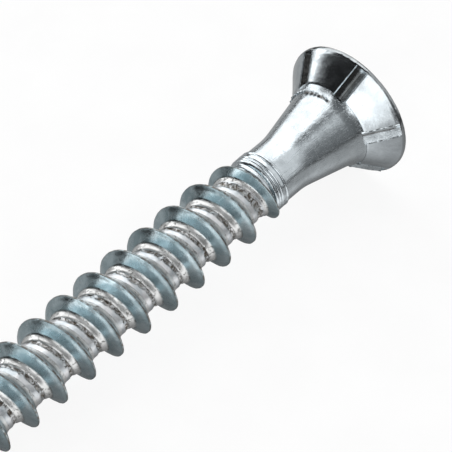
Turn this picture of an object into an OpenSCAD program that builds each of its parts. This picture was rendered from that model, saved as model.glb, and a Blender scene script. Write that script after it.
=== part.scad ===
// Countersunk wood screw: a head with cutting grooves and a six-lobe drive, a flared smooth neck,
// a rolled collar and a coarse single-start right-hand thread that runs out on a gimlet point.
// The screw lies along X. The middle of the head's flat top is the origin and faces +X, and
// the point is at -X. Each module is drawn standing on the head, with z measured from the
// head's top towards the point, and along_x() lays it down.

/* [Screw] */
// Length from the head's flat top to the point
screw_length = 50; // [34:1:80]
// Diameter over the thread's crest
thread_d = 5; // [4.1:0.1:6]

/* [Head] */
// Diameter of the head
head_d = 8.8; // [7.3:0.1:10.6]
// Height of the straight rim round the head
rim_h = 0.25; // [0.1:0.05:0.5]
// Angle of the countersunk cone, from side to side
head_angle = 82; // [78:1:90]
// Diameter where the cone of the head meets the neck
neck_top_d = 6; // [5.8:0.1:6.6]

/* [Six-lobe drive] */
// Diameter across the tips of the lobes
lobe_tip_d = 4.5; // [4:0.05:5]
// Diameter across the hollows between the lobes
lobe_root_d = 3.25; // [2.9:0.05:3.6]
// Radius of each lobe's tip
lobe_r = 0.39; // [0.3:0.01:0.45]
// Depth of the drive below the head's top
drive_depth = 1.7; // [1.2:0.05:1.75]

/* [Cutting grooves] */
// Number of cutting grooves under the head
groove_count = 6; // [3:1:8]
// Width of a groove where it opens on the cone
groove_w = 0.9; // [0.5:0.01:1.2]
// Depth of a groove below the cone
groove_depth = 0.36; // [0.15:0.01:0.45]
// How far a groove runs past the cone into the neck, along the cone's slope
groove_reach = 0.2; // [0:0.05:0.3]
// Angle of the first groove round the screw, from +Z towards +Y
groove_turn = 46.5; // [0:0.1:120]

/* [Neck and collar] */
// Diameter of the smooth shank at the neck's narrow end
shank_d = 3.72; // [3.3:0.02:3.9]
// Half angle of the neck's long taper
neck_taper = 12; // [9:0.5:13]
// Radius of the round that leads the neck out into the head
flare_r = 2; // [1.4:0.1:2.4]
// Radius of the round that leads the taper into the shank
waist_r = 5; // [3:0.5:8]
// Straight length of the shank between the waist and the collar
shank_length = 1.2; // [0.8:0.1:3]
// Diameter over the collar's rolled rings
collar_d = 3.92; // [3.86:0.02:4.1]
// Number of rolled rings on the collar
collar_rings = 2; // [1:1:4]
// Length of one ring along the screw
ring_length = 0.2; // [0.15:0.05:0.5]

/* [Thread] */
// Diameter of the core that carries the thread
core_d = 3.26; // [2.8:0.02:3.4]
// Advance of the thread in one turn
pitch = 2.25; // [1.8:0.05:2.8]
// Width of the flat on the thread's crest
crest_w = 0.12; // [0.05:0.01:0.3]
// Width of the thread where it stands on the core
base_w = 1.5; // [1:0.05:1.7]
// Width of the thread half way up its side
middle_w = 0.62; // [0.4:0.02:0.7]
// Bare length of core between the collar and the thread's first section
thread_gap = 0.03; // [0.01:0.01:0.5]
// Turns over which the thread grows to its full height
run_in_turns = 1.3; // [0.5:0.1:2]
// Angle of the thread's first section round the screw, from +Z towards +Y
thread_turn = 160; // [-180:1:180]

/* [Point] */
// Length of the tapered point
point_length = 9; // [6:0.5:12]
// Radius of the point's end
tip_r = 0.12; // [0.05:0.01:0.3]

/* [Hidden] */

$fn = 96;                 // sides of a drawn circle
eps = 0.01;               // overshoot of a cut
arc_steps = 8;            // straight pieces in a drawn arc
turn_steps = 24;          // sections of the thread in one turn
start_share = 0.3;        // share of the thread's height and width at its first section

head_r = head_d / 2;
neck_top_r = neck_top_d / 2;
cone_half = head_angle / 2;
head_h = rim_h + (head_r - neck_top_r) / tan(cone_half);

// Lobed outline: the hollows between lobes are arcs that touch both neighbouring lobe tips
lobe_count = 6;
lobe_at = lobe_tip_d / 2 - lobe_r;
half_lobe = 180 / lobe_count;
hollow_base = lobe_root_d / 2;
hollow_r = (lobe_at * lobe_at + hollow_base * hollow_base - 2 * lobe_at * hollow_base * cos(half_lobe)
    - lobe_r * lobe_r) / (2 * (lobe_r + lobe_at * cos(half_lobe) - hollow_base));
hollow_at = hollow_base + hollow_r;
drive_cone_h = 0.12;      // cone at the bottom of the drive
groove_clear = 0.3;       // how far a groove's bar stands out of the cone, so that it cuts right through

// Neck: a flare arc that carries on the cone, a straight taper, then a waist arc into the shank
shank_r = shank_d / 2;
flare_drop = flare_r * (cos(neck_taper) - cos(cone_half));
flare_h = flare_r * (sin(cone_half) - sin(neck_taper));
waist_rise = waist_r * (1 - cos(neck_taper));
waist_h = waist_r * sin(neck_taper);
taper_h = (neck_top_r - flare_drop - waist_rise - shank_r) / tan(neck_taper);
waist_z = head_h + flare_h + taper_h;
shank_z = waist_z + waist_h;
collar_z = shank_z + shank_length;
collar_r = collar_d / 2;
core_r = core_d / 2;
collar_end = collar_z + collar_rings * ring_length;

// Thread and point
thread_r = thread_d / 2;
point_z = screw_length - point_length;
thread_z = collar_end + thread_gap + start_share * base_w / 2;
step_z = pitch / turn_steps;
point_step = ceil((point_z - thread_z) / step_z);
tip_clear = 0.35;         // bare length left at the very tip
last_step = floor((screw_length - tip_clear - thread_z) / step_z);
seat = 1 / cos(180 / turn_steps);  // lifts the flat inner faces clear of the round core

function arc(cx, cy, r, from, to) =
    [for (i = [0:arc_steps]) let (a = from + (to - from) * i / arc_steps) [cx + r * cos(a), cy + r * sin(a)]];

// Radius of the core, then of the point, at a distance z from the head's top
function core_at(z) = z < point_z ? core_r : tip_r + (core_r - tip_r) * max(0, screw_length - z) / point_length;
function crest_at(z) = z < point_z ? thread_r : tip_r + (thread_r - tip_r) * max(0, screw_length - z) / point_length;

// Share of its full height that the thread has reached at a step
function grown(i) = min(1, start_share + (1 - start_share) * sqrt(i / (run_in_turns * turn_steps)));
function thin(z) = (crest_at(z) - core_at(z)) / (thread_r - core_r);

module along_x() {
    rotate([0, -90, 0]) children();
}

module lobed_outline() {
    difference() {
        union() {
            polygon([for (k = [0:2 * lobe_count - 1])
                let (r = k % 2 == 0 ? lobe_at : hollow_at) [r * cos(k * half_lobe), r * sin(k * half_lobe)]]);
            for (k = [0:lobe_count - 1])
                rotate(2 * k * half_lobe) translate([lobe_at, 0]) circle(lobe_r);
        }
        for (k = [0:lobe_count - 1])
            rotate((2 * k + 1) * half_lobe) translate([hollow_at, 0]) circle(hollow_r);
    }
}

// The six-lobe hole, from the head's flat top down to its cone. It reaches into the neck of a
// head that is thinner than the drive is deep.
module drive_hole() {
    translate([0, 0, -eps]) linear_extrude(drive_depth + eps) lobed_outline();
    translate([0, 0, drive_depth - eps]) cylinder(h = drive_cone_h, r1 = lobe_root_d / 2, r2 = 0);
}

module head_body() {
    cylinder(h = rim_h, r = head_r);
    translate([0, 0, rim_h]) cylinder(h = head_h - rim_h, r1 = head_r, r2 = neck_top_r);
}

module neck_body() {
    flare_c = neck_top_r + flare_r * cos(cone_half);
    flare_z = head_h + flare_r * sin(cone_half);
    rotate_extrude()
        polygon(concat(
            [[0, head_h]],
            arc(flare_c, flare_z, flare_r, 180 + cone_half, 180 + neck_taper),
            arc(shank_r + waist_r, shank_z, waist_r, 180 + neck_taper, 180),
            [[shank_r, collar_z], [0, collar_z]]));
}

// A straight V-shaped bar laid in the cone, from the rim's lower edge to just past the neck's start
module groove() {
    slant = (head_h - rim_h) / cos(cone_half) + groove_reach;
    clear_w = groove_w / 2 * (1 + groove_clear / groove_depth);
    translate([head_r, 0, rim_h]) rotate([0, -cone_half, 0])
        linear_extrude(slant)
            polygon([[-groove_depth, 0], [groove_clear, -clear_w], [groove_clear, clear_w]]);
}

module cutting_grooves() {
    for (k = [0:groove_count - 1])
        rotate(groove_turn + k * 360 / groove_count) groove();
}

module head() {
    color("silver") along_x() difference() {
        head_body();
        drive_hole();
        cutting_grooves();
    }
}

module neck() {
    color("lightsteelblue") along_x() difference() {
        neck_body();
        drive_hole();
        cutting_grooves();
    }
}

module collar() {
    ring_h = collar_r - shank_r;
    color("lightgray") along_x() rotate_extrude()
        polygon(concat(
            [[0, collar_z]],
            [for (k = [0:collar_rings - 1]) each arc(shank_r, collar_z + (k + 0.5) * ring_length,
                min(ring_h, ring_length / 2), -90, 90)],
            [[0, collar_end]]));
}

module core() {
    color("darkgray") along_x() translate([0, 0, collar_end]) cylinder(h = point_z - collar_end, r = core_r);
}

// One section of the thread: up one side, over the crest, down the other side, back under it
function section(i) =
    let (
        z = thread_z + i * step_z,
        share = grown(i) * thin(z),
        foot = base_w / 2 * share,
        side = middle_w / 2 * share,
        top = min(crest_w / 2, side / 2),
        low = core_at(z) * seat,
        high = core_at(z) + (thread_r - core_r) * share,
        mid = (low + high) / 2
    )
    [[core_at(z - foot) * seat, z - foot], [mid, z - side], [high, z - top], [high, z + top],
     [mid, z + side], [core_at(z + foot) * seat, z + foot], [low, z]];

section_points = 7;

// A length of the thread from one step to another, closed at both ends
module ridge(first, last) {
    points = [for (i = [first:last]) for (p = section(i))
        let (a = thread_turn + i * 360 / turn_steps) [p[0] * cos(a), p[0] * sin(a), p[1]]];
    n = section_points;
    count = last - first;
    side_faces = [for (i = [0:count - 1]) for (j = [0:n - 1])
        let (a = i * n + j, b = i * n + (j + 1) % n) each [[a, b, b + n], [a, b + n, a + n]]];
    start_face = [for (j = [n - 1:-1:0]) j];
    end_face = [for (j = [0:n - 1]) count * n + j];
    polyhedron(points = points, faces = concat(side_faces, [start_face, end_face]));
}

module thread() {
    color("steelblue") along_x() ridge(0, point_step);
}

module point() {
    color("darkgray") along_x() translate([0, 0, point_z]) cylinder(h = point_length, r1 = core_r, r2 = tip_r);
}

module point_thread() {
    color("steelblue") along_x() ridge(point_step, last_step);
}

head();
neck();
collar();
core();
thread();
point();
point_thread();
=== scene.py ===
"""Countersunk wood screw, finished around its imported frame.

Everything is in metres. The screw lies along X: the head's flat top is at x = 0 and faces +X, and the
point is at -X. A place on the screw is given by its depth below the head's top, its distance from the
axis and its angle round the axis, counted from +Z towards +Y.
"""

import math

import bpy
from bpy.props import FloatProperty, FloatVectorProperty, IntProperty, PointerProperty
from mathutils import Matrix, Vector, noise


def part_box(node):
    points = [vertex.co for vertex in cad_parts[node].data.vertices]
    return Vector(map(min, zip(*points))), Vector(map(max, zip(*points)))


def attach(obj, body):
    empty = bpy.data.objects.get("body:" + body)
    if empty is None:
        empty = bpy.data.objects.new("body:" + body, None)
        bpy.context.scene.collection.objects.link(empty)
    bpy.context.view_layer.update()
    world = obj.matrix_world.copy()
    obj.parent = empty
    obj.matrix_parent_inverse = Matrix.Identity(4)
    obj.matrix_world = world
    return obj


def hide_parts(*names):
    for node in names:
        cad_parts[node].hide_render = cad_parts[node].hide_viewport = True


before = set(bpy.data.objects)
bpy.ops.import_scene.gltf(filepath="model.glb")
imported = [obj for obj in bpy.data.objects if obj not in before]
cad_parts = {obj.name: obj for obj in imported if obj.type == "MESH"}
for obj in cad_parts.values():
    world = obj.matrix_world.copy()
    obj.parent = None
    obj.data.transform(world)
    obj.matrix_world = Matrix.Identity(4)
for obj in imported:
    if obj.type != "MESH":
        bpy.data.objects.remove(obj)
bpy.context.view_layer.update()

bl_info = {
    "name": "Countersunk wood screw",
    "version": (1, 0, 0),
    "blender": (4, 5, 0),
    "location": "3D View > Sidebar > Wood screw",
    "description": "Models a zinc-plated countersunk wood screw and its studio",
    "category": "Object",
}

MM = 0.001
BODY = "root"
MERGE = 0.001 * MM        # vertices nearer than this are one vertex
SENSOR_WIDTH = 36.0       # millimetres, as Blender's camera counts it

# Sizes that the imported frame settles
HEAD_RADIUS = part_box("head")[1].z
HEAD_HEIGHT = -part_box("head")[0].x
NECK_TOP_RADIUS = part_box("neck")[1].z
NECK_END = -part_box("neck")[0].x
COLLAR_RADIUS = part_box("collar")[1].z
CORE_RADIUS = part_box("core")[1].z
THREAD_RADIUS = 2.5 * MM
POINT_START = -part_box("point")[1].x
SCREW_LENGTH = -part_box("point")[0].x
THREAD_END = -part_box("point_thread")[0].x

GROOVE_START = 0.08 * MM  # slope that a groove leaves whole under the rim
GROOVE_CLEAR = 0.3 * MM   # how far a groove's bar stands out of the cone, so that it cuts right through
SUNK = 0.02 * MM          # how deep a burr or a skin starts inside its neighbour


# ---------------------------------------------------------------- sizes and finishes that a user sets

def length(description, default):
    """A size in metres."""
    return FloatProperty(description=description, default=default, min=0.0, unit="LENGTH", precision=5)


def angle(description, degrees):
    """An angle, written in degrees."""
    return FloatProperty(description=description, default=math.radians(degrees), unit="ROTATION")


def share(description, default, **more):
    """A plain number from 0 up."""
    return FloatProperty(description=description, default=default, min=0.0, **more)


def colour(description, default):
    """A linear colour."""
    return FloatVectorProperty(description=description, default=default, size=3, min=0.0, max=1.0,
                               subtype="COLOR")


def count(description, default, least):
    """A whole number."""
    return IntProperty(description=description, default=default, min=least)


class ScrewHeadSizes(bpy.types.PropertyGroup):
    """Sizes of the head, its drive and its cutting grooves"""
    rim_height: length("Straight height of the rim", 0.25 * MM)
    edge_round: length("Radius of the head's outer edge", 0.07 * MM)
    lobe_tip: length("Distance from the axis to the tip of a lobe", 2.25 * MM)
    lobe_hollow: length("Distance from the axis to the hollow between lobes", 1.625 * MM)
    lobe_round: length("Radius of a lobe's tip", 0.39 * MM)
    drive_depth: length("Depth of the drive's straight wall", 1.7 * MM)
    drive_cone: length("Depth of the cone at the bottom of the drive", 0.1 * MM)
    lobe_count: count("Lobes of the drive", 6, 3)
    groove_count: count("Cutting grooves under the head", 6, 1)
    groove_turn: angle("Angle of the first groove round the screw", 46.5)
    groove_width: length("Width of a groove where it opens on the cone", 0.9 * MM)
    groove_depth: length("Depth of a groove below the cone", 0.36 * MM)
    groove_reach: length("How far a groove runs past the cone into the neck", 0.25 * MM)
    burr_height: length("Height of the burr along a groove's edges", 0.035 * MM)


class ScrewNeckSizes(bpy.types.PropertyGroup):
    """Sizes of the neck, its burr and the rolled collar"""
    flare_round: length("Radius that leads the neck out into the head", 2.66 * MM)
    flare_angle: angle("Slope of the neck where it meets the cone", 33)
    step: length("Height of the step from the cone down to the neck", 0.06 * MM)
    taper: angle("Half angle of the neck's long taper", 12)
    waist_round: length("Radius that leads the taper into the shank", 5.0 * MM)
    shank_radius: length("Radius of the smooth shank", 1.86 * MM)
    shank_straight: length("Straight shank between the waist and the collar", 1.2 * MM)
    lip_end: length("Depth at which the burred lip under the head ends", 2.43 * MM)
    lip_slope: angle("Slope of the burred lip", 17)
    lip_from: angle("Angle at which the burred lip starts", -8)
    lip_to: angle("Angle at which the burred lip ends", 40)
    bead_count: count("Beads along the lip's free edge", 6, 0)
    collar_end: length("Depth at which the rolled collar ends", 9.3 * MM)


class ScrewThreadSizes(bpy.types.PropertyGroup):
    """Sizes of the thread and of the root between its turns"""
    pitch: length("Advance in one turn", 2.25 * MM)
    first_depth: length("Depth of the crest where the thread starts", 8.398 * MM)
    first_turn: angle("Angle at which the thread starts", 160)
    crest_width: length("Width of the flat on the crest", 0.12 * MM)
    crest_wear: length("Depth of the dents in the crest", 0.03 * MM)
    scar_depth: length("Depth of the rolling scars in the root", 0.12 * MM)
    scar_place: length("Distance of the scars from the crest, towards the point", 0.9 * MM)
    scar_width: length("Half width of the scarred band", 0.28 * MM)
    tip_radius: length("Radius of the point's end", 0.12 * MM)


class ScrewFinish(bpy.types.PropertyGroup):
    """Colours and gloss of the zinc plating"""
    bright: colour("Plating on the head, the neck and the collar", (0.585, 0.635, 0.665))
    bright_shade: colour("Its duller patches", (0.45, 0.49, 0.515))
    blue: colour("Passivated plating on the thread", (0.47, 0.565, 0.60))
    blue_shade: colour("Its darker, greener patches", (0.29, 0.375, 0.405))
    root: colour("Plating in the rolled root", (0.68, 0.68, 0.69))
    foot: colour("Plating at the thread's foot", (0.64, 0.645, 0.64))
    worn: colour("Bare brown metal on the thread's crest", (0.12, 0.10, 0.085))
    tint: colour("Brown tint of the scarred band", (0.42, 0.36, 0.29))
    # The next colour also darkens the groove walls, and paints shadow under the lip's edge, shade in the
    # crease at the thread's foot and shade in the root's deepest dents.
    scale: colour("Dark scale left in pits and folds", (0.07, 0.06, 0.05))
    gloss: share("Roughness of the bright plating", 0.17, max=1.0)
    blue_gloss: share("Roughness of the blued plating", 0.24, max=1.0)


class StudioSettings(bpy.types.PropertyGroup):
    """Floor, lights and camera"""
    camera_azimuth: angle("Direction to the camera; 0 looks along +Y", -48.04)
    camera_elevation: angle("Height of the camera over the horizon", 48.72)
    camera_distance: length("Distance from the camera to its aim", 162.0 * MM)
    camera_aim: FloatVectorProperty(description="Point in the middle of the picture", size=3,
                                    default=(-11.84 * MM, -0.57 * MM, -0.34 * MM), unit="LENGTH")
    camera_lens: FloatProperty(description="Focal length", default=221.4, min=1.0, unit="CAMERA")
    floor_size: length("Side of the floor", 3.0)
    floor_white: share("Brightness of the floor as the camera sees it", 1.0)
    # The floor glows for every ray but the camera's. These two settings set that painted glow near the screw
    # and in front on the left.
    floor_near: share("Brightness of the floor near the screw, in reflections", 0.46)
    floor_front: share("Brightness of the floor in front on the left, in reflections", 1.5)


# ---------------------------------------------------------------- places on the screw

def on_screw(depth, radius, turn):
    """The point at a depth below the head's top, a distance from the axis and an angle round it."""
    return Vector((-depth, radius * math.sin(turn), radius * math.cos(turn)))


def arc(middle, radius, start, end, steps):
    """Depths and radii along an arc. An angle of 0 points away from the axis, and 90 degrees to the point."""
    angles = [start + (end - start) * i / steps for i in range(steps + 1)]
    return [(middle[0] + radius * math.sin(a), middle[1] + radius * math.cos(a)) for a in angles]


def spaced(points, gap):
    """The same line with points added, so that none are further apart than the gap."""
    line = [points[0]]
    for a, b in zip(points, points[1:]):
        parts = max(1, math.ceil(math.dist(a, b) / gap))
        line += [tuple(p + (q - p) * i / parts for p, q in zip(a, b)) for i in range(1, parts + 1)]
    return line


def smooth(low, high, value):
    """0 up to low, 1 from high on, and a smooth rise between them."""
    t = min(1.0, max(0.0, (value - low) / (high - low)))
    return t * t * (3 - 2 * t)


def cone_half_angle(head):
    """Half the angle of the countersunk cone."""
    return math.atan2(HEAD_RADIUS - NECK_TOP_RADIUS, HEAD_HEIGHT - head.rim_height)


def neck_line(head, neck):
    """Depths and radii down the neck, from the cone of the head to the end of the shank."""
    flare, slope = neck.flare_round, neck.flare_angle
    flare_middle = (HEAD_HEIGHT + flare * math.sin(slope),
                    NECK_TOP_RADIUS - neck.step + flare * math.cos(slope))
    shank_start = NECK_END - neck.shank_straight
    waist_middle = (shank_start, neck.shank_radius + neck.waist_round)
    return (
        arc(flare_middle, flare, math.pi + slope, math.pi + neck.taper, 14)
        + arc(waist_middle, neck.waist_round, math.pi + neck.taper, math.pi, 12)
        + [(NECK_END, neck.shank_radius)]
    )


def radius_at(line, depth):
    """The radius of a line of depths and radii at one depth."""
    for (d0, r0), (d1, r1) in zip(line, line[1:]):
        if d0 <= depth <= d1:
            return r0 + (r1 - r0) * (depth - d0) / max(d1 - d0, MERGE)
    return line[-1][1]


def core_radius(depth, thread):
    """The radius of the core, and then of the point, at a depth."""
    left = min(1.0, max(0.0, SCREW_LENGTH - depth) / (SCREW_LENGTH - POINT_START))
    return thread.tip_radius + (CORE_RADIUS - thread.tip_radius) * left


def on_thread(point, thread):
    """The turns from the thread's start to a point, and how far it is from the crest, towards the point."""
    part = (math.atan2(point.y, point.z) - thread.first_turn) / math.tau
    along = (-point.x - thread.first_depth) / thread.pitch
    turns = part + round(along - part)
    return turns, (along - turns) * thread.pitch


def thread_height(turns, depth):
    """The share of its full height that the thread has, as it rises from the shank and runs out."""
    rise = 0.72 * smooth(-0.05, 0.3, turns) + 0.28 * smooth(0.75, 1.45, turns)
    run_out = min(1.0, max(0.0, SCREW_LENGTH - depth) / (SCREW_LENGTH - POINT_START))
    return rise * run_out


# ---------------------------------------------------------------- modelling by operators

def pick_object(piece):
    """Makes a piece the only selected object, and the active one."""
    bpy.ops.object.select_all(action="DESELECT")
    piece.select_set(True)
    bpy.context.view_layer.objects.active = piece


def apply_modifier(piece, kind, **settings):
    """Adds a modifier with these settings to the active piece, and applies it."""
    bpy.ops.object.modifier_add(type=kind)
    modifier = piece.modifiers[-1]
    for setting, value in settings.items():
        setattr(modifier, setting, value)
    bpy.ops.object.modifier_apply(modifier=modifier.name)


def draw_line(name, points):
    """A new piece that is one line through the points, drawn by extruding a single vertex."""
    bpy.ops.object.select_all(action="DESELECT")
    bpy.ops.mesh.primitive_plane_add(size=MM, location=(0, 0, 0))
    piece = bpy.context.object
    piece.name = name
    piece.data.name = name
    bpy.ops.object.mode_set(mode="EDIT")
    bpy.ops.mesh.select_all(action="SELECT")
    bpy.ops.mesh.merge(type="CENTER")
    bpy.ops.transform.translate(value=points[0])
    for a, b in zip(points, points[1:]):
        bpy.ops.mesh.extrude_vertices_move(TRANSFORM_OT_translate={"value": b - a})
    return piece


def spin_line(name, line, steps):
    """A closed piece of revolution round the screw's axis, spun from a line of depths and radii."""
    piece = draw_line(name, [on_screw(depth, radius, 0.0) for depth, radius in line])
    bpy.ops.mesh.select_all(action="SELECT")
    bpy.ops.mesh.spin(steps=steps, angle=math.tau, center=(0, 0, 0), axis=(1, 0, 0), use_auto_merge=True)
    clean_skin()
    return piece


def clean_skin():
    """Closes the seams and poles of the piece being edited, and turns its faces outwards."""
    bpy.ops.mesh.select_all(action="SELECT")
    bpy.ops.mesh.remove_doubles(threshold=MERGE)
    bpy.ops.mesh.normals_make_consistent(inside=False)


def pick(piece, wanted):
    """Selects the vertices that pass the test, by place, on the piece being edited."""
    bpy.ops.mesh.select_mode(type="VERT")
    bpy.ops.mesh.select_all(action="DESELECT")
    bpy.ops.object.mode_set(mode="OBJECT")
    for vertex in piece.data.vertices:
        vertex.select = wanted(vertex.co)
    bpy.ops.object.mode_set(mode="EDIT")


def extrude_edges(depth):
    """Extrudes the selected edges down into the head by a depth."""
    bpy.ops.mesh.extrude_edges_move(TRANSFORM_OT_translate={"value": (-depth, 0, 0)})


def move_picked(piece, place):
    """Moves each selected vertex to the place that a function gives for it."""
    bpy.ops.object.mode_set(mode="OBJECT")
    for vertex in piece.data.vertices:
        if vertex.select:
            vertex.co = place(vertex.co)
    bpy.ops.object.mode_set(mode="EDIT")


def weigh(piece, name, weight):
    """A vertex group whose weights come from each vertex's place."""
    group = piece.vertex_groups.new(name=name)
    for vertex in piece.data.vertices:
        value = weight(vertex.co)
        if value > 0.0:
            group.add([vertex.index], value, "REPLACE")


def dent(piece, kind, size, depth, group="", **settings):
    """Dents a finished skin, inwards only, with a Displace modifier and applies it."""
    texture = bpy.data.textures.new(piece.name + "_" + kind.lower(), kind)
    texture.noise_scale = size
    for setting, value in settings.items():
        setattr(texture, setting, value)
    apply_modifier(piece, "DISPLACE", texture=texture, texture_coords="LOCAL", strength=depth,
                   mid_level=1.0, vertex_group=group)


def note(piece, name, values):
    """Stores a number at each vertex, for the materials to read."""
    attribute = piece.data.attributes.new(name, "FLOAT", "POINT")
    attribute.data.foreach_set("value", values)


def finish_piece(piece, material, nodes, sharp=30):
    """Shades a piece, gives it its material and fixes it to the frame."""
    bpy.ops.object.mode_set(mode="OBJECT")
    pick_object(piece)
    bpy.ops.object.shade_smooth_by_angle(angle=math.radians(sharp))
    piece.data.materials.clear()
    piece.data.materials.append(material)
    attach(piece, BODY)
    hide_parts(*nodes)


def cone_line(head):
    """Where the cone starts under the rim over +Z, the way down its slope and the way out of it."""
    cone = cone_half_angle(head)
    down = Vector((-math.cos(cone), 0.0, -math.sin(cone)))
    out = Vector((-math.sin(cone), 0.0, math.cos(cone)))
    return on_screw(head.rim_height, HEAD_RADIUS, 0.0) + down * GROOVE_START, down, out


def groove_length(head):
    """The length of a groove down the slope, from under the rim to its end in the neck."""
    slope = math.hypot(HEAD_HEIGHT - head.rim_height, HEAD_RADIUS - NECK_TOP_RADIUS)
    return slope - GROOVE_START + head.groove_reach


def lay_bar(name, head, outline, rows):
    """A closed bar along a groove over +Z. Its outline is widths across the slope and heights out of it."""
    start, down, out = cone_line(head)
    bar = draw_line(name, [start + Vector((0.0, y, 0.0)) + out * h for y, h in outline])
    bpy.ops.mesh.select_all(action="SELECT")
    bpy.ops.mesh.edge_face_add()
    step = down * groove_length(head) / rows
    for _ in range(rows):
        bpy.ops.mesh.extrude_region_move(TRANSFORM_OT_translate={"value": step})
    clean_skin()
    bpy.ops.object.mode_set(mode="OBJECT")
    return bar


def groove_bar(head, number):
    """The V-shaped bar that cuts one groove, a little uneven along its length."""
    half, deep = head.groove_width / 2, head.groove_depth
    side = [(half * (1 + GROOVE_CLEAR / deep), GROOVE_CLEAR), (0.06 * MM, 0.05 * MM - deep)]
    bar = lay_bar("groove_bar", head, side + [(0.0, -deep)] + [(-y, h) for y, h in reversed(side)], 30)
    turn = head.groove_turn + number * math.tau / head.groove_count
    uneven = 0.006 * MM
    lump = 0.25 * MM
    for vertex in bar.data.vertices:
        p = vertex.co
        shake = uneven * noise.noise(p / lump + Vector((number * 5.0, 0.0, 0.0)))
        vertex.co = on_screw(-p.x, math.hypot(p.y, p.z) + shake, math.atan2(p.y, p.z) + turn)
    return bar


def cut_grooves(piece, head):
    """Cuts the grooves into a finished skin with Boolean modifiers, one groove at a time."""
    for k in range(head.groove_count):
        bar = groove_bar(head, k)
        pick_object(piece)
        apply_modifier(piece, "BOOLEAN", operation="DIFFERENCE", solver="EXACT", object=bar)
        bpy.data.objects.remove(bar)


def dark_groove_wall(p, head):
    """1 on the darkened wall of each groove, on its side towards growing angles, and 0 elsewhere."""
    spacing = math.tau / head.groove_count
    off = (math.atan2(p.y, p.z) - head.groove_turn + spacing / 2) % spacing - spacing / 2
    across = math.hypot(p.y, p.z) * math.sin(off)
    end = HEAD_HEIGHT + head.groove_reach * math.cos(cone_half_angle(head))
    spare = 0.01 * MM
    inside = -spare < across < head.groove_width / 2 + spare and head.rim_height < -p.x < end
    return 1.0 if inside else 0.0


# ---------------------------------------------------------------- materials

def add(tree, kind, inputs=None, **settings):
    """Adds a node. An input is a number or colour for its socket, or another node's output."""
    made = tree.nodes.new("ShaderNode" + kind)
    for setting, value in settings.items():
        setattr(made, setting, value)
    for socket, value in (inputs or {}).items():
        if isinstance(value, bpy.types.NodeSocket):
            tree.links.new(value, made.inputs[socket])
        else:
            made.inputs[socket].default_value = value
    return made


def ramp(tree, factor, stops):
    """A colour ramp through (position, colour or grey) stops."""
    made = add(tree, "ValToRGB", {"Fac": factor})
    elements = made.color_ramp.elements
    while len(elements) < len(stops):
        elements.new(1.0)
    for element, (position, value) in zip(elements, stops):
        element.position = position
        element.color = (value, value, value, 1.0) if isinstance(value, float) else (*value, 1.0)
    return made.outputs["Color"]


def blend(tree, factor, a, b):
    """Mixes two colours. Each is three numbers or another node's output."""
    a, b = (c if isinstance(c, bpy.types.NodeSocket) else (*c, 1.0) for c in (a, b))
    return add(tree, "Mix", {0: factor, 6: a, 7: b}, data_type="RGBA").outputs[2]


def maths(tree, operation, a, b):
    """One sum of two values."""
    return add(tree, "Math", {0: a, 1: b}, operation=operation).outputs[0]


def times(tree, a, b):
    """One value times another."""
    return maths(tree, "MULTIPLY", a, b)


def plus(tree, a, b):
    """One value plus another."""
    return maths(tree, "ADD", a, b)


def most(tree, a, b):
    """The larger of two values."""
    return maths(tree, "MAXIMUM", a, b)


def less(tree, a, b):
    """One value less another."""
    return maths(tree, "SUBTRACT", a, b)


def noted(tree, name):
    """The number that a piece's vertices carry under a name."""
    return add(tree, "Attribute", attribute_name=name).outputs["Fac"]


def pattern(tree, scale=(1.0, 1.0, 1.0), turn=(0.0, 0.0, 0.0)):
    """Places on the piece in patterns per millimetre, stretched by a scale along each axis."""
    place = add(tree, "TexCoord").outputs["Object"]
    per_metre = [s / MM for s in scale]
    return add(tree, "Mapping", {"Vector": place, "Scale": per_metre, "Rotation": turn}).outputs["Vector"]


def grain(tree, vector, scale, detail=4.0, roughness=0.5, distortion=0.0):
    """Noise from 0 to 1."""
    return add(tree, "TexNoise", {"Vector": vector, "Scale": scale, "Detail": detail,
                                  "Roughness": roughness, "Distortion": distortion}).outputs["Fac"]


def scratches(tree, along, across, turn, low, high):
    """Thin streaks, long one way and narrow the other, as 0 to 1."""
    place = pattern(tree, (along, across, across), turn)
    return ramp(tree, grain(tree, place, 1.0, 2.0, 0.4), [(low, 0.0), (high, 1.0)])


def bump(tree, height, depth, normal=None):
    """A bump of that depth in metres, on top of another one."""
    inputs = {"Height": height, "Distance": depth, "Strength": 1.0}
    if normal is not None:
        inputs["Normal"] = normal
    return add(tree, "Bump", inputs).outputs["Normal"]


def new_metal(name):
    """A fresh node material with a metal shader, and its tree and shader."""
    material = bpy.data.materials.new(name)
    material.use_nodes = True
    tree = material.node_tree
    shader = tree.nodes["Principled BSDF"]
    shader.inputs["Metallic"].default_value = 1.0
    return material, tree, shader


def wire(tree, shader, colour_value, roughness, normal):
    """Joins the finished colour, roughness and bump to the shader."""
    tree.links.new(colour_value, shader.inputs["Base Color"])
    tree.links.new(roughness, shader.inputs["Roughness"])
    tree.links.new(normal, shader.inputs["Normal"])


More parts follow.
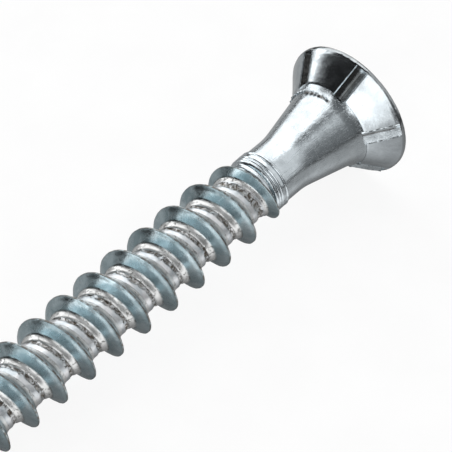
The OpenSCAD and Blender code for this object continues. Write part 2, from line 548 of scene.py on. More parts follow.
def bright_zinc(finish, name, scratch_turn=(0.0, 0.3, 0.6), wear=1.0, dull=0.0):
    """Bright zinc plate: soft mottling, fine grain, rubbed scratches, small dark pits, and darkening that the
    piece notes: oxide, darkened groove walls and painted shadow under the lip.
    """
    material, tree, shader = new_metal(name)
    even = pattern(tree)
    patches = ramp(tree, grain(tree, even, 0.9, 5.0, 0.6, 0.4), [(0.36, 0.0), (0.64, 1.0)])
    plate = blend(tree, patches, tuple(finish.bright_shade), tuple(finish.bright))
    specks = grain(tree, even, 11.0, 3.0, 0.6)
    dark = ramp(tree, specks, [(0.30, 1.0), (0.36, 0.0)])
    plate = blend(tree, times(tree, dark, 0.35), plate, tuple(finish.scale))
    lines = scratches(tree, 0.7, 13.0, scratch_turn, 0.60, 0.66)
    cross_lines = scratches(tree, 0.9, 17.0, (0.4, 1.1, 0.9), 0.63, 0.68)
    marks = most(tree, lines, cross_lines)
    # Darkening noted on the piece: oxide on the head's rim, darkened groove walls and painted shadow under
    # the lip's edge.
    fold = noted(tree, "fold")
    plate = blend(tree, fold, plate, tuple(finish.scale))
    rough = add(tree, "MapRange", {"Value": patches, "To Min": finish.gloss + dull + 0.06,
                                   "To Max": finish.gloss + dull - 0.03}).outputs["Result"]
    rough = plus(tree, rough, times(tree, marks, 0.12 * wear))
    dimples = bump(tree, grain(tree, even, 2.2, 2.0, 0.4), 0.010 * MM * wear)
    grained = bump(tree, grain(tree, even, 6.0, 1.0, 0.4), (0.0007 + 0.02 * dull) * MM, dimples)
    scored = bump(tree, less(tree, 1.0, marks), 0.002 * MM * wear, grained)
    wire(tree, shader, plate, rough, scored)
    return material


def crack_net(tree, even, flecks):
    """Thin wandering cracks, broken where the flecks are 0."""
    shake = add(tree, "TexNoise", {"Vector": even, "Scale": 3.0}).outputs["Color"]
    bent = add(tree, "VectorMath", {0: even, 1: shake}, operation="ADD").outputs["Vector"]
    cells = add(tree, "TexVoronoi", {"Vector": bent, "Scale": 2.6}, feature="DISTANCE_TO_EDGE")
    edges = cells.outputs["Distance"]
    return times(tree, ramp(tree, edges, [(0.0, 1.0), (0.08, 0.95), (0.17, 0.0)]), flecks)


def blued_zinc(finish):
    """Passivated plate on the thread: blue-green patches, a worn brown crest, a dull cracked foot and painted
    shade in the crease along the foot.
    """
    material, tree, shader = new_metal("zinc_thread")
    even = pattern(tree)
    patches = ramp(tree, grain(tree, even, 0.8, 4.0, 0.55, 0.5), [(0.38, 0.0), (0.62, 1.0)])
    plate = blend(tree, patches, tuple(finish.blue_shade), tuple(finish.blue))
    lights = ramp(tree, grain(tree, even, 2.3, 5.0, 0.6), [(0.52, 0.0), (0.70, 1.0)])
    plate = blend(tree, times(tree, lights, 0.35), plate, tuple(finish.bright))
    rise = noted(tree, "rise")
    foot = ramp(tree, rise, [(0.10, 1.0), (0.20, 0.0)])
    plate = blend(tree, foot, plate, tuple(finish.foot))
    flecks = ramp(tree, grain(tree, even, 4.0, 5.0, 0.65, 0.6), [(0.53, 0.0), (0.62, 1.0)])
    cracked = times(tree, times(tree, foot, 0.7), crack_net(tree, even, flecks))
    # Painted shade in the crease where the ridge's foot meets the root, broken by noise.
    painted_crease_shade = ramp(tree, rise, [(0.10, 0.0), (0.16, 1.0), (0.23, 0.0)])
    broken = ramp(tree, grain(tree, even, 2.5, 4.0), [(0.44, 0.05), (0.62, 0.8)])
    # Cracks on the foot, and the painted shade in its crease.
    stain_and_shade = most(tree, cracked, times(tree, painted_crease_shade, broken))
    plate = blend(tree, stain_and_shade, plate, tuple(finish.scale))
    crest = ramp(tree, rise, [(0.94, 0.0), (0.985, 1.0)])
    worn = times(tree, crest, ramp(tree, grain(tree, even, 3.5, 4.0), [(0.35, 0.3), (0.6, 1.0)]))
    plate = blend(tree, times(tree, worn, 0.9), plate, tuple(finish.worn))
    rough = plus(tree, times(tree, patches, -0.07), finish.blue_gloss + 0.05)
    rough = plus(tree, rough, times(tree, worn, 0.12))
    rough = plus(tree, rough, times(tree, foot, 0.12))
    waves = bump(tree, grain(tree, even, 1.8, 3.0, 0.5), 0.016 * MM)
    grained = bump(tree, grain(tree, even, 7.0, 3.0, 0.55), 0.0025 * MM, waves)
    grained = bump(tree, less(tree, 1.0, cracked), 0.03 * MM, grained)
    wire(tree, shader, plate, rough, grained)
    return material


def rolled_zinc(finish):
    """Plate in the rolled root: bright and smooth, with cracks and dark scale in the scarred band, and
    painted shade with the scale in its deepest dents.
    """
    material, tree, shader = new_metal("zinc_root")
    even = pattern(tree)
    patches = ramp(tree, grain(tree, even, 1.6, 5.0, 0.6, 0.4), [(0.35, 0.0), (0.65, 1.0)])
    plate = blend(tree, patches, tuple(finish.bright_shade), tuple(finish.root))
    scar = noted(tree, "scar")
    pit_and_shade = noted(tree, "pit_and_shade")
    flecks = ramp(tree, grain(tree, even, 4.0, 5.0, 0.65, 0.6), [(0.44, 0.0), (0.54, 1.0)])
    cracks = crack_net(tree, even, flecks)
    cracked = times(tree, ramp(tree, scar, [(0.02, 0.0), (0.22, 1.0)]), cracks)
    # Cracks in the scarred band, and dark scale with painted shade where the dents sink deepest.
    stain_and_shade = most(tree, cracked, times(tree, pit_and_shade, flecks))
    plate = blend(tree, stain_and_shade, plate, tuple(finish.scale))
    plate = blend(tree, times(tree, scar, 0.35), plate, tuple(finish.tint))
    rough = plus(tree, times(tree, stain_and_shade, 0.2), finish.gloss + 0.20)
    dimples = bump(tree, grain(tree, even, 2.6, 3.0, 0.5), 0.022 * MM)
    folds = times(tree, scar, grain(tree, even, 4.0, 5.0, 0.6, 0.8))
    scarred = bump(tree, folds, 0.09 * MM, dimples)
    split = bump(tree, less(tree, 1.0, cracked), 0.03 * MM, scarred)
    wire(tree, shader, plate, rough, split)
    return material


def rise_along(tree, place, direction, start, end):
    """0 up to a distance along a direction, 1 from another on, and a smooth rise between them."""
    along = add(tree, "VectorMath", {0: place, 1: direction}, operation="DOT_PRODUCT").outputs["Value"]
    return add(tree, "MapRange", {"Value": along, "From Min": start, "From Max": end},
               interpolation_type="SMOOTHSTEP").outputs["Result"]


def floor_paper(studio):
    """Plain pale paper as the camera sees it. For every other ray the floor glows with a painted glow: grey
    near the screw with painted shadow beside it, bright in front, dimmer far in front on the right and dark
    far behind.
    """
    material = bpy.data.materials.new("pale_floor")
    material.use_nodes = True
    tree = material.node_tree
    tree.nodes.clear()
    fibres = grain(tree, pattern(tree, (0.2, 0.2, 0.2)), 1.0, 3.0)
    tone = ramp(tree, fibres, [(0.3, 0.98), (0.7, 1.0)])
    paper = add(tree, "BsdfDiffuse", {"Color": tone})
    lit = add(tree, "Emission", {"Color": tone, "Strength": studio.floor_white})
    seen = add(tree, "MixShader", {"Fac": 0.9, 1: paper.outputs[0], 2: lit.outputs[0]})
    place = add(tree, "TexCoord").outputs["Object"]
    in_front = rise_along(tree, place, (0.0, -1.0, 0.0), 0.0, 9 * MM)
    far = rise_along(tree, place, (0.0, -1.0, 0.0), 22 * MM, 50 * MM)
    on_left = rise_along(tree, place, (-0.81, 0.59, 0.0), -3 * MM, 3 * MM)
    behind = rise_along(tree, place, (0.0, 1.0, 0.0), 33 * MM, 50 * MM)
    front = times(tree, in_front, on_left)
    far_right = times(tree, far, less(tree, 1.0, on_left))
    # Painted shadow: the glow drops to 0.4 under the screw and rises away from it on both sides.
    both_sides = [rise_along(tree, place, (0.0, side, 0.0), 2.5 * MM, 6 * MM) for side in (1.0, -1.0)]
    painted_shadow_beside = most(tree, *both_sides)
    painted_shadow_beside = plus(tree, times(tree, painted_shadow_beside, 0.6), 0.4)
    bright = times(tree, front, studio.floor_front - studio.floor_near)
    bright = plus(tree, bright, studio.floor_near)
    bright = times(tree, bright, less(tree, 1.03, behind))
    bright = times(tree, bright, painted_shadow_beside)
    dimmed = less(tree, 1.0, times(tree, far_right, 0.9))
    bright = times(tree, bright, dimmed)
    # The floor's painted glow, which the metal sees in reflections and which also lights the screw.
    painted_floor_glow = add(tree, "Emission", {"Color": tone, "Strength": bright})
    to_camera = add(tree, "LightPath").outputs["Is Camera Ray"]
    either = add(tree, "MixShader", {"Fac": to_camera, 1: painted_floor_glow.outputs[0], 2: seen.outputs[0]})
    output = add(tree, "OutputMaterial")
    tree.links.new(either.outputs[0], output.inputs["Surface"])
    return material


# ---------------------------------------------------------------- the pieces

def lobe_radius(head, turn):
    """The drive's radius at an angle: round lobe tips, joined by round hollows that touch them."""
    half = math.pi / head.lobe_count
    off = abs((turn + half) % (2 * half) - half)
    tip_at = head.lobe_tip - head.lobe_round
    base = head.lobe_hollow
    hollow = ((tip_at ** 2 + base ** 2 - 2 * tip_at * base * math.cos(half) - head.lobe_round ** 2)
              / (2 * (head.lobe_round + tip_at * math.cos(half) - base)))
    hollow_at = base + hollow
    touch = Vector((tip_at, 0.0)).lerp(Vector((hollow_at * math.cos(half), hollow_at * math.sin(half))),
                                       head.lobe_round / (head.lobe_round + hollow))
    if off < math.atan2(touch.y, touch.x):
        return tip_at * math.cos(off) + math.sqrt(head.lobe_round ** 2 - (tip_at * math.sin(off)) ** 2)
    gap = half - off
    return hollow_at * math.cos(gap) - math.sqrt(hollow ** 2 - (hollow_at * math.sin(gap)) ** 2)


class SCREW_OT_head(bpy.types.Operator):
    """Model the countersunk head with its rounded rim and six-lobe drive"""
    bl_idname = "screw.head"
    bl_label = "Head"

    steps = 288               # faces round the head
    chamfer = 0.07 * MM       # at the mouth of the drive
    edge_half = 0.025 * MM    # half the bevel at the rim's lower edge

    def execute(self, context):
        head = context.scene.screw_head
        finish = context.scene.screw_finish
        r = head.edge_round
        back = HEAD_HEIGHT + 0.05 * MM
        mouth = head.lobe_tip + 2 * self.chamfer
        top = [(0.0, mouth), (0.0, HEAD_RADIUS - r)]
        edge = arc((r, HEAD_RADIUS - r), r, -math.pi / 2, 0.0, 5)
        half = self.edge_half
        rim = [(head.rim_height - half, HEAD_RADIUS), (head.rim_height + half, HEAD_RADIUS - half)]
        cone = [(HEAD_HEIGHT, NECK_TOP_RADIUS), (back, NECK_TOP_RADIUS - 0.06 * MM)]
        line = spaced(top, 0.2 * MM) + edge[1:] + spaced(rim + cone[:1], 0.08 * MM) + cone[1:]
        line += [(back, 0.06 * MM), (back, 0.0)]
        piece = spin_line("head_shell", line, self.steps)
        self.sink_drive(piece, head, mouth)
        clean_skin()
        bpy.ops.object.mode_set(mode="OBJECT")
        weigh(piece, "outside", lambda p: smooth(2.6 * MM, 3.2 * MM, math.hypot(p.y, p.z)))
        dent(piece, "CLOUDS", 0.9 * MM, 0.007 * MM, "outside", noise_depth=2)
        weigh(piece, "rim", lambda p: smooth(4.2 * MM, 4.36 * MM, math.hypot(p.y, p.z)))
        dent(piece, "CLOUDS", 0.35 * MM, 0.022 * MM, "rim", noise_depth=3)
        cut_grooves(piece, head)
        places = [vertex.co for vertex in piece.data.vertices]
        # Darkening on the head: a brown oxide edge round the rim, and the darkened wall of each groove.
        note(piece, "fold", [max(self.oxide(p), 0.8 * dark_groove_wall(p, head)) for p in places])
        finish_piece(piece, bright_zinc(finish, "zinc_head", wear=0.35), ["head"], sharp=28)
        return {"FINISHED"}

    def oxide(self, p):
        """A brown edge round the rim, strongest at its outer corner."""
        reach = smooth(HEAD_RADIUS - 0.10 * MM, HEAD_RADIUS - 0.03 * MM, math.hypot(p.y, p.z))
        corner = 1 - smooth(0.05 * MM, 0.12 * MM, -p.x)
        return reach * (0.38 + 0.30 * corner)

    def sink_drive(self, piece, head, mouth):
        """Extrudes the drive down from the round mouth left in the head's top."""
        def at_mouth(p):
            return p.x > -MERGE and math.hypot(p.y, p.z) < mouth + MERGE

        def lobed(extra):
            def place(p):
                turn = math.atan2(p.y, p.z)
                return on_screw(-p.x, lobe_radius(head, turn) + extra, turn)
            return place

        pick(piece, at_mouth)
        half = self.chamfer / 2
        for drop, extra in ((0.0, self.chamfer), (half, self.chamfer * 0.3), (half, 0.0)):
            extrude_edges(drop)
            move_picked(piece, lobed(extra))
        wall = head.drive_depth - self.chamfer
        wall_steps = 12
        for _ in range(wall_steps):
            extrude_edges(wall / wall_steps)
        floor_steps = 10
        for step in range(floor_steps - 1, 0, -1):
            extrude_edges(head.drive_cone / floor_steps)
            shrink = step / (step + 1)
            bpy.ops.transform.resize(value=(1, shrink, shrink), center_override=(0, 0, 0))
        extrude_edges(head.drive_cone / floor_steps)
        bpy.ops.mesh.merge(type="CENTER")


class SCREW_OT_burrs(bpy.types.Operator):
    """Model the burr along the edge of a groove, and copy it to both edges of every groove"""
    bl_idname = "screw.burrs"
    bl_label = "Groove burrs"

    def execute(self, context):
        head = context.scene.screw_head
        material = bright_zinc(context.scene.screw_finish, "zinc_burrs", (0.0, 0.7, 0.2), 0.8)
        tall = head.burr_height
        first = lay_bar("burr", head, [(-1.2 * tall, -tall), (0.0, tall), (1.2 * tall, -tall)], 48)
        pieces = [first]
        for _ in range(2 * head.groove_count - 1):
            pick_object(first)
            bpy.ops.object.duplicate(linked=False)
            pieces.append(context.object)
        for k, piece in enumerate(pieces):
            piece.name = f"groove_burr_{k + 1}"
            piece.data.name = piece.name
            self.place_burr(piece, head, k)
            finish_piece(piece, material, ["head"], sharp=60)
        return {"FINISHED"}

    def place_burr(self, piece, head, number):
        """Moves a copy to its edge of its groove, and makes its height uneven in its own way."""
        side = 1 if number % 2 else -1
        turn = head.groove_turn + (number // 2) * math.tau / head.groove_count
        reach = groove_length(head)
        seed = Vector((number * 7.0, 0.0, 0.0))
        for vertex in piece.data.vertices:
            p = vertex.co
            along = (-p.x - head.rim_height) / math.cos(cone_half_angle(head)) / reach
            uneven = noise.noise(p / (0.3 * MM) + seed) + 0.7 * noise.noise(p / (0.09 * MM) + seed)
            grown = 0.6 * smooth(0.9, 0.97, along)
            lift = head.burr_height * (uneven + grown) if abs(p.y) < MERGE else 0.0
            y = p.y + side * (head.groove_width / 2 - SUNK) + 0.3 * lift
            z = p.z + lift - SUNK
            vertex.co = on_screw(-p.x, math.hypot(y, z), math.atan2(y, z) + turn)


class SCREW_OT_neck(bpy.types.Operator):
    """Model the flared smooth neck and shank"""
    bl_idname = "screw.neck"
    bl_label = "Neck"

    def execute(self, context):
        scene = context.scene
        head, neck = scene.screw_head, scene.screw_neck
        line = neck_line(head, neck)
        front = HEAD_HEIGHT + SUNK
        inner = neck.shank_radius - 0.1 * MM
        end = neck.collar_end - 0.2 * MM
        fine_end = neck.lip_end + 0.3 * MM
        near_lip = [point for point in spaced(line, 0.04 * MM) if point[0] < fine_end]
        rest = [near_lip[-1]] + [point for point in line if point[0] > near_lip[-1][0]]
        inside_head = [(front, 0.0), (front, 0.1 * MM), (front, NECK_TOP_RADIUS - 0.12 * MM)]
        inside_collar = [(NECK_END + 0.05 * MM, inner), (end, inner), (end, 0.0)]
        line = inside_head + near_lip + spaced(rest, 0.12 * MM)[1:] + inside_collar
        piece = spin_line("flared_neck", line, 240)
        bpy.ops.object.mode_set(mode="OBJECT")
        dent(piece, "CLOUDS", 1.3 * MM, 0.007 * MM, noise_depth=2)
        dent(piece, "CLOUDS", 0.3 * MM, 0.003 * MM, noise_depth=3)
        cut_grooves(piece, head)
        places = [vertex.co for vertex in piece.data.vertices]
        # Darkening on the neck: painted shadow under the lip's free edge, and the darkened wall of each
        # groove.
        note(piece, "fold", [max(self.fold(p, neck), 0.5 * dark_groove_wall(p, head)) for p in places])
        material = bright_zinc(scene.screw_finish, "zinc_neck", (0.0, 0.15, 0.9), 0.8, dull=0.05)
        finish_piece(piece, material, ["neck"])
        return {"FINISHED"}

    def fold(self, p, neck):
        """1 in the painted shadow under the free edge of the burred lip, and 0 away from it."""
        turn = math.atan2(p.y, p.z)
        if not neck.lip_from < turn < neck.lip_to:
            return 0.0
        off = abs(-p.x - neck.lip_end - 0.02 * MM) / (0.13 * MM)
        broken = 0.75 + 1.2 * noise.noise(Vector((math.degrees(turn) / 4.0, 9.0, 0.0)))
        return (1 - smooth(0.4, 1.0, off)) * min(1.0, max(0.0, broken))


class SCREW_OT_burr(bpy.types.Operator):
    """Model the thin lip of metal pushed from the cone over the neck, with its burred edge"""
    bl_idname = "screw.burr"
    bl_label = "Burred lip"

    def execute(self, context):
        scene = context.scene
        neck = scene.screw_neck
        skin = neck_line(scene.screw_head, neck)
        start = HEAD_HEIGHT - 0.03 * MM
        rows = 16
        depths = [start + (neck.lip_end - start) * i / rows for i in range(rows + 1)]
        slope = math.tan(neck.lip_slope)

        def over(depth):
            """The lip's own radius: it slopes less than the neck under it, so its free edge stands proud."""
            return max(radius_at(skin, depth) + 0.03 * MM, NECK_TOP_RADIUS - (depth - start) * slope)

        turns = neck.lip_to - neck.lip_from
        line = [on_screw(d, over(d), neck.lip_to) for d in depths]
        piece = draw_line("burr_lip", line)
        bpy.ops.mesh.select_all(action="SELECT")
        bpy.ops.mesh.spin(steps=72, angle=turns, center=(0, 0, 0), axis=(1, 0, 0))
        bpy.ops.mesh.select_all(action="SELECT")
        bpy.ops.mesh.normals_make_consistent(inside=False)
        bpy.ops.object.mode_set(mode="OBJECT")
        for vertex in piece.data.vertices:
            vertex.co = self.ragged(vertex.co, neck, start)
        apply_modifier(piece, "SOLIDIFY", thickness=0.12 * MM, offset=-1.0)
        material = bright_zinc(scene.screw_finish, "zinc_lip")
        finish_piece(piece, material, ["neck"], sharp=50)
        edge = over(neck.lip_end)
        for k in range(neck.bead_count):
            self.bead(neck, edge, k, material)
        return {"FINISHED"}

    def bead(self, neck, edge, number, material):
        """One rounded bead of metal rolled up along the lip's free edge."""
        bpy.ops.object.select_all(action="DESELECT")
        bpy.ops.mesh.primitive_uv_sphere_add(segments=24, ring_count=14, radius=1.0, location=(0, 0, 0))
        piece = bpy.context.object
        piece.name = f"lip_bead_{number + 1}"
        piece.data.name = piece.name
        spread = (neck.lip_to - neck.lip_from - 0.12) / neck.bead_count
        jitter = noise.noise(Vector((number * 3.7, 2.0, 5.0)))
        turn = neck.lip_from + 0.06 + spread * (number + 0.5 + 0.5 * jitter)
        half = spread * edge * (0.40 + 0.25 * jitter)
        depth = neck.lip_end + (0.03 + 0.10 * jitter) * MM
        thick = (0.062 + 0.02 * jitter) * MM
        for vertex in piece.data.vertices:
            p = vertex.co.copy()
            lump = 1 + 0.35 * noise.noise(p * 1.7 + Vector((number * 3.0, 0.0, 0.0)))
            slant = 0.06 * MM * p.x * jitter
            over = edge + 0.01 * MM + p.z * thick * lump
            vertex.co = on_screw(depth + slant + p.y * thick * lump * 1.2, over, turn + p.x * half / edge)
        bpy.ops.object.mode_set(mode="EDIT")
        clean_skin()
        finish_piece(piece, material, ["neck"], sharp=60)

    def ragged(self, p, neck, start):
        """Pulls the free edge in and out, thickens it into beads and sinks the two ends of the lip."""
        turn = math.atan2(p.y, p.z)
        part = (-p.x - start) / (neck.lip_end - start)
        round_place = Vector((math.degrees(turn) / 3.2, 0.0, 0.0))
        tooth = noise.noise(round_place) + 0.5 * noise.noise(round_place * 2.7 + Vector((5, 0, 0)))
        first, last = neck.lip_from, neck.lip_to
        ends = smooth(first, first + 0.1, turn) * (1 - smooth(last - 0.1, last, turn))
        pull = 0.12 * MM * tooth * part ** 4
        bead = 0.07 * MM * max(0.0, tooth + 0.3) * smooth(0.72, 0.9, part)
        radius = math.hypot(p.y, p.z) + bead - 0.10 * MM * (1 - ends)
        return on_screw(-p.x + pull, radius, turn)


class SCREW_OT_collar(bpy.types.Operator):
    """Model the collar with its rolled rings, between the shank and the thread"""
    bl_idname = "screw.collar"
    bl_label = "Rolled collar"

    def execute(self, context):
        scene = context.scene
        neck = scene.screw_neck
        low, high = neck.shank_radius, COLLAR_RADIUS
        groove = 0.05 * MM
        start = NECK_END
        rings = [start + 0.24 * MM, start + 0.65 * MM, start + 0.86 * MM, start + 1.15 * MM]

        def ring_radius(depth):
            """The collar's radius at a depth: a step up from the shank, with a fine groove at each ring."""
            step = smooth(start, start + 0.06 * MM, depth)
            fall = smooth(start + 0.9 * MM, neck.collar_end, depth)
            cut = sum(math.exp(-((depth - ring) / (0.05 * MM)) ** 2) for ring in rings)
            return low + (high - low) * step - groove * cut - (high - CORE_RADIUS + 0.05 * MM) * fall

        count = 80
        depths = [start - 0.01 * MM + (neck.collar_end - start) * i / count for i in range(count + 1)]
        line = [(depths[0], 0.0), (depths[0], 0.1 * MM), (depths[0], low - 0.03 * MM)]
        line += [(d, ring_radius(d)) for d in depths]
        line += [(depths[-1], 0.1 * MM), (depths[-1], 0.0)]
        piece = spin_line("rolled_collar", line, 192)
        bpy.ops.object.mode_set(mode="OBJECT")
        weigh(piece, "outside", lambda p: smooth(1.4 * MM, 1.6 * MM, math.hypot(p.y, p.z)))
        dent(piece, "CLOUDS", 0.4 * MM, 0.03 * MM, "outside", noise_depth=3)
        finish = scene.screw_finish
        finish_piece(piece, bright_zinc(finish, "zinc_collar", (0.0, 0.0, 1.5)), ["collar"])
        return {"FINISHED"}


class SCREW_OT_root(bpy.types.Operator):
    """Model the core and its point, with the scars that rolling leaves between the turns"""
    bl_idname = "screw.root"
    bl_label = "Thread root"

    def execute(self, context):
        scene = context.scene
        thread = scene.screw_thread
        start = NECK_END + 0.3 * MM
        tip = thread.tip_radius
        body = [(start, CORE_RADIUS), (POINT_START, CORE_RADIUS), (SCREW_LENGTH - tip, tip)]
        end = arc((SCREW_LENGTH - tip, 0.0), tip, 0.0, math.radians(70), 4)
        line = [(start, 0.0), (start, 0.2 * MM)] + spaced(body, 0.08 * MM) + end[1:] + [(SCREW_LENGTH, 0.0)]
        piece = spin_line("thread_root", line, 120)
        bpy.ops.object.mode_set(mode="OBJECT")

        def scar(p):
            """1 in the middle of the scarred band and 0 outside it. The band wanders a little."""
            turns, across = on_thread(p, thread)
            wander = 0.12 * MM * noise.noise(Vector((turns * 9.0, 0.0, 3.0)))
            off = abs(across - thread.scar_place - wander)
            off = min(off, abs(across + thread.pitch - thread.scar_place - wander))
            broken = 0.55 + 0.9 * noise.noise(Vector((turns * 23.0, 1.0, 0.0)))
            fade = smooth(0.0, 1.5 * MM, -p.x - start) * (1 - smooth(-3 * MM, 0.0, -p.x - SCREW_LENGTH))
            band = 1 - smooth(thread.scar_width * 0.35, thread.scar_width, off)
            return band * min(1.0, max(0.25, broken)) * fade

        before = [vertex.co.copy() for vertex in piece.data.vertices]
        weigh(piece, "scarred", scar)
        dent(piece, "VORONOI", 0.34 * MM, thread.scar_depth * 1.6, "scarred")
        dent(piece, "CLOUDS", 0.16 * MM, thread.scar_depth, "scarred", noise_type="HARD_NOISE", noise_depth=3)
        dent(piece, "CLOUDS", 0.8 * MM, 0.02 * MM, noise_depth=2)
        after = [vertex.co for vertex in piece.data.vertices]
        sunk = [math.hypot(b.y, b.z) - math.hypot(a.y, a.z) for b, a in zip(before, after)]
        note(piece, "scar", [scar(p) for p in before])
        # Darker where the dents sink deepest: dark scale with painted shade.
        note(piece, "pit_and_shade", [smooth(0.09 * MM, 0.14 * MM, depth) for depth in sunk])
        finish_piece(piece, rolled_zinc(scene.screw_finish), ["core", "point"], sharp=60)
        return {"FINISHED"}


class SCREW_OT_thread(bpy.types.Operator):
    """Model the ridge of the thread, from its run-in under the collar to its run-out at the point"""
    bl_idname = "screw.thread"
    bl_label = "Thread ridge"

    steps_in_turn = 112       # sections of the ridge in one turn

    def execute(self, context):
        scene = context.scene
        thread = scene.screw_thread
        turns = (THREAD_END - thread.first_depth) / thread.pitch
        last_turn = thread.first_turn + math.tau * turns
        points = [on_screw(thread.first_depth + turns * thread.pitch + w, r, last_turn)
                  for w, r in spaced(self.outline(thread), 0.09 * MM)]
        piece = draw_line("thread_ridge", points)
        bpy.ops.mesh.select_all(action="SELECT")
        bpy.ops.mesh.edge_face_add()
        bpy.ops.mesh.delete(type="ONLY_FACE")
        bpy.ops.object.mode_set(mode="OBJECT")
        self.wind(piece, turns, thread)
        bpy.ops.object.mode_set(mode="EDIT")
        bpy.ops.mesh.select_mode(type="VERT")
        bpy.ops.mesh.select_all(action="DESELECT")
        bpy.ops.mesh.select_non_manifold()
        bpy.ops.mesh.fill_holes(sides=0)
        clean_skin()
        bpy.ops.object.mode_set(mode="OBJECT")
        self.shape(piece, thread)
        top = THREAD_RADIUS - 0.3 * MM
        weigh(piece, "top", lambda p: smooth(top, THREAD_RADIUS, math.hypot(p.y, p.z)))
        dent(piece, "CLOUDS", 0.5 * MM, thread.crest_wear, "top", noise_depth=2)
        dent(piece, "CLOUDS", 0.16 * MM, thread.crest_wear * 0.6, "top", noise_depth=2)
        dent(piece, "CLOUDS", 1.1 * MM, 0.014 * MM, noise_depth=2)
        material = blued_zinc(scene.screw_finish)
        finish_piece(piece, material, ["thread", "point_thread"], sharp=70)
        return {"FINISHED"}

    def outline(self, thread):
        """Distances from the crest and radii round one section of the ridge."""
        flat = thread.crest_width / 2
        tall = THREAD_RADIUS - CORE_RADIUS
        side = [(flat, THREAD_RADIUS), (flat + 0.02 * MM, THREAD_RADIUS - 0.03 * MM),
                (0.43 * MM, CORE_RADIUS + tall * 0.25), (0.47 * MM, CORE_RADIUS + tall * 0.17),
                (0.53 * MM, CORE_RADIUS + tall * 0.11), (0.64 * MM, CORE_RADIUS + tall * 0.05),
                (0.78 * MM, CORE_RADIUS + tall * 0.005), (0.86 * MM, CORE_RADIUS - 0.05 * MM),
                (0.86 * MM, CORE_RADIUS - 0.2 * MM)]
        return [(-w, r) for w, r in reversed(side)] + side

    def wind(self, piece, turns, thread):
        """Winds the section up towards the head with a Screw modifier."""
        steps = round(self.steps_in_turn * turns)
        apply_modifier(piece, "SCREW", axis="X", angle=math.tau * turns, screw_offset=thread.pitch * turns,
                       steps=steps, render_steps=steps, use_smooth_shade=True)

    def shape(self, piece, thread):
        """Lowers and narrows the ridge where it runs in and out, and notes how high on it each point is."""
        rise = []
        for vertex in piece.data.vertices:
            p = vertex.co
            turns, across = on_thread(p, thread)
            middle = -p.x - across
            height = thread_height(turns, middle)
            depth = middle + across * height
            over = math.hypot(p.y, p.z) - CORE_RADIUS
            rise.append(min(1.0, max(0.0, over / (THREAD_RADIUS - CORE_RADIUS))))
            vertex.co = on_screw(depth, core_radius(depth, thread) + over * height, math.atan2(p.y, p.z))
        note(piece, "rise", rise)


# ---------------------------------------------------------------- floor, lights and camera

def towards(azimuth, elevation):
    """The direction at an azimuth, where 0 is -Y and 90 degrees is +X, and an elevation."""
    level = math.cos(elevation)
    return Vector((math.sin(azimuth) * level, -math.cos(azimuth) * level, math.sin(elevation)))


# Softboxes: name, azimuth and elevation in degrees, width and height in metres, brightness
SOFTBOXES = (
    ("softbox_back", 161, 24, 0.44, 0.19, 2.0),
    ("softbox_top", 150, 62, 0.30, 0.23, 2.0),
    ("softbox_side", -60, 21, 0.24, 0.40, 2.0),
    ("softbox_low", -104, 6, 0.14, 0.08, 2.4),
    ("softbox_groove", 187, 6, 0.09, 0.07, 2.4),
    ("softbox_right", 52, 35, 0.30, 0.42, 0.8),
)
SOFTBOX_DISTANCE = 0.3
SOFTBOX_AIM = Vector((-12 * MM, 0.0, 0.0))


def softbox(name, azimuth, elevation, width, height, brightness):
    """A soft light that faces the screw. Its brightness is that of its own surface."""
    away = towards(math.radians(azimuth), math.radians(elevation))
    bpy.ops.object.light_add(type="AREA", location=SOFTBOX_AIM + away * SOFTBOX_DISTANCE)
    light = bpy.context.object
    light.name = name
    light.rotation_euler = away.to_track_quat("Z", "Y").to_euler()
    light.data.shape = "RECTANGLE"
    light.data.size = width
    light.data.size_y = height
    light.data.energy = brightness * math.pi * width * height
    light.visible_camera = False


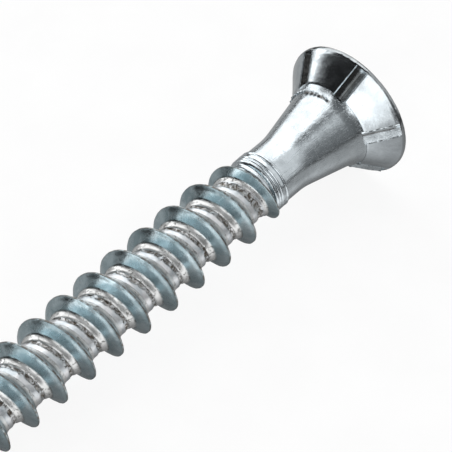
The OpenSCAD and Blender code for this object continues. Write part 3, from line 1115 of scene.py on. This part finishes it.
class SCREW_OT_studio(bpy.types.Operator):
    """Set up the pale floor, the soft lights and the camera"""
    bl_idname = "screw.studio"
    bl_label = "Studio"

    def execute(self, context):
        studio = context.scene.screw_studio
        self.floor(studio)
        for box in SOFTBOXES:
            softbox(*box)
        self.surroundings(context.scene)
        self.camera(context.scene, studio)
        context.scene.view_settings.view_transform = "Standard"
        return {"FINISHED"}

    def floor(self, studio):
        """A floor that the rim of the head and the thread both rest on."""
        tilt = math.atan2(HEAD_RADIUS - THREAD_RADIUS, POINT_START)
        bpy.ops.object.select_all(action="DESELECT")
        bpy.ops.mesh.primitive_plane_add(size=studio.floor_size, location=(0, 0, -HEAD_RADIUS),
                                         rotation=(0, tilt, 0))
        floor = bpy.context.object
        floor.name = "floor"
        floor.data.materials.append(floor_paper(studio))

    def surroundings(self, scene):
        """A dim room: darkest behind on the left, lighter in front on the right."""
        world = bpy.data.worlds.new("room")
        world.use_nodes = True
        scene.world = world
        tree = world.node_tree
        tree.nodes.clear()
        place = add(tree, "TexCoord").outputs["Generated"]
        lighter = (0.6, -0.55, 0.58)
        side = add(tree, "VectorMath", {0: place, 1: lighter}, operation="DOT_PRODUCT").outputs["Value"]
        glow = add(tree, "MapRange", {"Value": side, "From Min": 0.05, "From Max": 0.85,
                                      "To Min": 0.012, "To Max": 0.24}).outputs["Result"]
        room = add(tree, "Background", {"Color": (0.95, 0.98, 1.0, 1.0), "Strength": glow})
        pale = add(tree, "Background", {"Color": (1.0, 1.0, 1.0, 1.0), "Strength": 1.0})
        to_camera = add(tree, "LightPath").outputs["Is Camera Ray"]
        either = add(tree, "MixShader", {"Fac": to_camera, 1: room.outputs[0], 2: pale.outputs[0]})
        output = add(tree, "OutputWorld")
        tree.links.new(either.outputs[0], output.inputs["Surface"])

    def camera(self, scene, studio):
        """The camera, level with the horizon and aimed at the middle of the picture."""
        away = towards(studio.camera_azimuth, studio.camera_elevation)
        place = Vector(studio.camera_aim) + away * studio.camera_distance
        bpy.ops.object.camera_add(location=place, rotation=away.to_track_quat("Z", "Y").to_euler())
        camera = bpy.context.object
        camera.name = "camera"
        camera.data.lens = studio.camera_lens
        camera.data.sensor_width = SENSOR_WIDTH
        camera.data.clip_start = 0.01
        camera.data.clip_end = 10.0
        scene.camera = camera


# ---------------------------------------------------------------- panel and registration

OPERATORS = (SCREW_OT_head, SCREW_OT_burrs, SCREW_OT_neck, SCREW_OT_burr, SCREW_OT_collar, SCREW_OT_root,
             SCREW_OT_thread, SCREW_OT_studio)
SETTINGS = {
    "screw_head": ScrewHeadSizes,
    "screw_neck": ScrewNeckSizes,
    "screw_thread": ScrewThreadSizes,
    "screw_finish": ScrewFinish,
    "screw_studio": StudioSettings,
}


class SCREW_PT_panel(bpy.types.Panel):
    """Lists the screw's sizes and the operators that model it"""
    bl_idname = "SCREW_PT_panel"
    bl_label = "Wood screw"
    bl_space_type = "VIEW_3D"
    bl_region_type = "UI"
    bl_category = "Wood screw"

    def draw(self, context):
        for name, group in SETTINGS.items():
            box = self.layout.box()
            for setting in group.__annotations__:
                box.prop(getattr(context.scene, name), setting, text=setting.replace("_", " "))
        for operator in OPERATORS:
            self.layout.operator(operator.bl_idname)


def register():
    for group in SETTINGS.values():
        bpy.utils.register_class(group)
    for operator in OPERATORS:
        bpy.utils.register_class(operator)
    bpy.utils.register_class(SCREW_PT_panel)
    for name, group in SETTINGS.items():
        setattr(bpy.types.Scene, name, PointerProperty(type=group))


def unregister():
    for name in SETTINGS:
        delattr(bpy.types.Scene, name)
    bpy.utils.unregister_class(SCREW_PT_panel)
    for operator in reversed(OPERATORS):
        bpy.utils.unregister_class(operator)
    for group in reversed(SETTINGS.values()):
        bpy.utils.unregister_class(group)


def main():
    """Models every piece and the studio."""
    register()
    bpy.ops.screw.head()
    bpy.ops.screw.burrs()
    bpy.ops.screw.neck()
    bpy.ops.screw.burr()
    bpy.ops.screw.collar()
    bpy.ops.screw.root()
    bpy.ops.screw.thread()
    bpy.ops.screw.studio()


if __name__ == "__main__":
    main()
